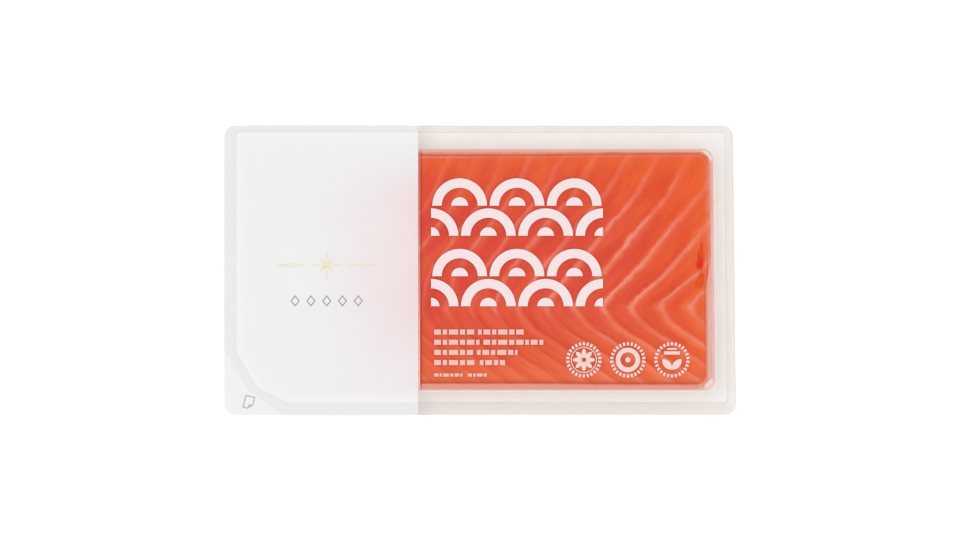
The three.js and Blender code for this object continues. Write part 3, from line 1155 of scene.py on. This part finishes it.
BADGE_RADIUS = 8
BADGE_TICKS, TICK = 26, (1.05, 1.5)
BADGE_Y = -40.3
BADGE_X = [46.6, 66.4, 86.2]


def leaf(name, length, width):
    """A leaf that stands up from the middle of the drawing: a slice off a disc, and its mirror image."""
    radius = (length**2 + width**2) / (4 * width)
    made = ink_disc(name, radius, width / 2 - radius, length / 2, hollow=False, sides=96)
    keep_side(made, 0, 0, (-1, 0))
    shape_by(made, "MIRROR", use_axis=(True, False, False), merge_threshold=SAME_PLACE)
    return made


def ring_of(piece, count):
    """Repeats a piece round the middle of the drawing."""
    edit_all(piece)
    bpy.ops.mesh.spin(steps=count, dupli=True, angle=math.tau, center=(0, 0, 0), axis=(0, 0, 1))
    bpy.ops.mesh.select_all(action="SELECT")
    bpy.ops.mesh.remove_doubles(threshold=SAME_PLACE)
    done()
    return piece


def turn(piece, degrees):
    edit_all(piece)
    bpy.ops.transform.rotate(value=math.radians(degrees), orient_axis="Z", center_override=(0, 0, 0))
    done()
    return piece


def tick_ring():
    tick = ink_block("ticks", *TICK, 0, BADGE_RADIUS - TICK[1] / 2)
    return ring_of(tick, BADGE_TICKS)


def rosette():
    petal = leaf("petal", 4.3, 2.1)
    slide(petal, 0, 0.8)
    return [ring_of(petal, 8), ink_disc("hoop", 5.9, rings=[0.45], sides=40)]


def thick_ring():
    return [ink_disc("ring", 5.5, rings=[1.1, 1.0], sides=40), ink_disc("dot", 1.2, hollow=False, sides=16)]


def leaf_pair():
    leaves = [turn(leaf("leaf", 6.4, 3.2), degrees) for degrees in (42, -42)]
    for made in leaves:
        slide(made, 0, -4.4)
    bars = [ink_block("bar", 7.2, 1.5, 0, 3.1, (3, 1)), ink_block("bar", 4.4, 0.8, 0, 4.9, (2, 1))]
    return leaves + bars


badge_pieces = []
for middle, motif in zip(BADGE_X, (rosette, thick_ring, leaf_pair)):
    badge = join([tick_ring(), *motif()], "badge")
    slide(badge, middle, BADGE_Y)
    badge_pieces.append(badge)
badges = join(badge_pieces, "round_badges")
lay_on_film(badges)
belongs(badges, ink("badge_pink_ink", (0.8, 0.58, 0.54, 1)), "printed_film")

# --------------------------------------------------------------- emblem ---
# A pale gold compass star between two tapering rules on the white print, in
# fine lines, and a row of small grey lozenges below it.

EMBLEM = (-69, 2.3)
LONG_RAY, SHORT_RAY, RAY_WIDTH = 7.2, 4.6, 2.2
LINE_WIDTH = 0.32
RULE_REACH, RULE_START, RULE_WIDTH = 23, 8.6, 1.5
LOZENGE = (4.2, 5.2)
LOZENGE_LINE = 0.5
LOZENGE_Y, LOZENGE_PITCH, LOZENGE_COUNT = -13.8, 7.1, 5


def outline_only(piece, width):
    """Leaves only a line of that width along a piece's edge."""
    edit_all(piece)
    bpy.ops.mesh.dissolve_limited(angle_limit=math.radians(1))
    bpy.ops.mesh.inset(thickness=width * MM)
    bpy.ops.mesh.delete(type="FACE")
    done()
    return piece


def lozenge(name, width, height):
    """A four-cornered disc, stretched along the drawing."""
    made = ink_disc(name, 0.5, hollow=False, sides=4)
    edit_all(made)
    bpy.ops.transform.resize(value=(width, height, 1), center_override=(0, 0, 0))
    done()
    return made


long_rays = outline_only(lozenge("ray", RAY_WIDTH, 2 * LONG_RAY), LINE_WIDTH)
wide_rays = outline_only(lozenge("ray", 2 * LONG_RAY, RAY_WIDTH), LINE_WIDTH)
short_rays = []
for degrees in (45, -45):
    ray = outline_only(lozenge("ray", RAY_WIDTH * 0.7, 2 * SHORT_RAY), LINE_WIDTH)
    short_rays.append(turn(ray, degrees))
rules = []
for side in (-1, 1):
    rule = outline_only(lozenge("rule", RULE_REACH - RULE_START, RULE_WIDTH), LINE_WIDTH)
    slide(rule, side * (RULE_REACH + RULE_START) / 2, 0)
    rules.append(rule)
star = join([long_rays, wide_rays, *short_rays, *rules], "gold_star")
slide(star, *EMBLEM)
lay_on_film(star)
belongs(star, ink("pale_gold_ink", pigment(226, 212, 172), 0.3), "printed_film")

lozenges = outline_only(lozenge("grey_lozenges", *LOZENGE), LOZENGE_LINE)
slide(lozenges, EMBLEM[0] - LOZENGE_PITCH * (LOZENGE_COUNT - 1) / 2, LOZENGE_Y)
repeat(lozenges, LOZENGE_COUNT, LOZENGE_PITCH)
lay_on_film(lozenges)
belongs(lozenges, ink("grey_ink", pigment(150, 150, 150)), "printed_film")

# ------------------------------------------------------------- peel mark ---
# A small grey sheet with a lifting corner, printed on the loose tab.

PEEL_MARK = (-103.9, -59.3)
MARK_SIZE, MARK_LINE, MARK_FOLD, MARK_TILT = (4.6, 6), 0.6, 2.2, 14
LOWER_RIGHT = (0.7071, -0.7071)

mark_right, mark_bottom = MARK_SIZE[0] / 2, -MARK_SIZE[1] / 2
sheet_mark = ink_block("peel_mark", *MARK_SIZE)
keep_side(sheet_mark, mark_right - MARK_FOLD, mark_bottom, LOWER_RIGHT)
outline_only(sheet_mark, MARK_LINE)
fold = ink_block("fold", MARK_FOLD, MARK_FOLD, mark_right - MARK_FOLD / 2, mark_bottom + MARK_FOLD / 2)
keep_side(fold, mark_right - MARK_FOLD, mark_bottom, LOWER_RIGHT)
peel_mark = join([sheet_mark, fold], "peel_mark")
turn(peel_mark, MARK_TILT)
slide(peel_mark, *PEEL_MARK)
lay_on_film(peel_mark)
belongs(peel_mark, ink("mark_grey_ink", pigment(176, 180, 180)), "printed_film")

# ----------------------------------------------------- floor, light, view ---
# A plain white light table, a soft lamp on either side and a pale tent. The
# camera looks straight down on the pack.

bpy.ops.object.select_all(action="DESELECT")
bpy.ops.mesh.primitive_plane_add(size=6, location=(0, 0, 0))
floor = bpy.context.object
floor.name = "floor"
table_white = new_finish("table_white")
TABLE_GLOW = 0.28  # the table is a light table, turned low
table_mottle = patchy(table_white, 60, 0.0, 1.0)
table_colour = blend(table_white, table_mottle, (0.9, 0.9, 0.9, 1), (0.91, 0.91, 0.91, 1))
table = solid(table_white, table_colour, 0.7, Emission_Color=PLAIN_WHITE, Emission_Strength=TABLE_GLOW)
cover(table_white, table)
floor.data.materials.append(table_white)

ROOM_LIGHT, PORT_LIGHT = 1.0, 0.2  # the tent is darker straight above, where the camera looks in
PORT_EDGE = (0.95, 0.985)
world = bpy.data.worlds.new("light_tent")
bpy.context.scene.world = world
world.use_nodes = True
world.node_tree.nodes.clear()
upward = shader(world, "SeparateXYZ", {0: shader(world, "TexCoord").outputs["Generated"]}).outputs["Z"]
tent = between(world, upward, *PORT_EDGE, ROOM_LIGHT, PORT_LIGHT)
tent_light = shader(world, "Background", {"Color": (1, 1, 1, 1), "Strength": tent})
shader(world, "OutputWorld", {"Surface": tent_light.outputs["Background"]})

LAMPS = [("lamp_left", (-0.9, 0.3, 1.2), 0.8, 4), ("lamp_right", (0.8, -0.5, 1.2), 0.8, 3)]
for name, spot, size, power in LAMPS:
    bpy.ops.object.light_add(type="AREA", location=spot)
    lamp = bpy.context.object
    lamp.name = lamp.data.name = name
    lamp.data.size = size
    lamp.data.energy = power
    lamp.rotation_euler = (-Vector(spot)).to_track_quat("-Z", "Y").to_euler()

LENS, SENSOR = 100, 36
VIEW_WIDTH = 431.2  # what the picture is wide, at the height of the film
VIEW_MIDDLE = (-0.09, 0.09)
camera_height = FILM_TOP * MM + VIEW_WIDTH * MM * LENS / SENSOR
camera_spot = (VIEW_MIDDLE[0] * MM, VIEW_MIDDLE[1] * MM, camera_height)
bpy.ops.object.camera_add(location=camera_spot, rotation=(0, 0, 0))
camera = bpy.context.object
camera.data.lens = LENS
camera.data.sensor_width = SENSOR
bpy.context.scene.camera = camera
bpy.context.scene.view_settings.view_transform = "Standard"
bpy.context.scene.cycles.transparent_max_bounces = 24
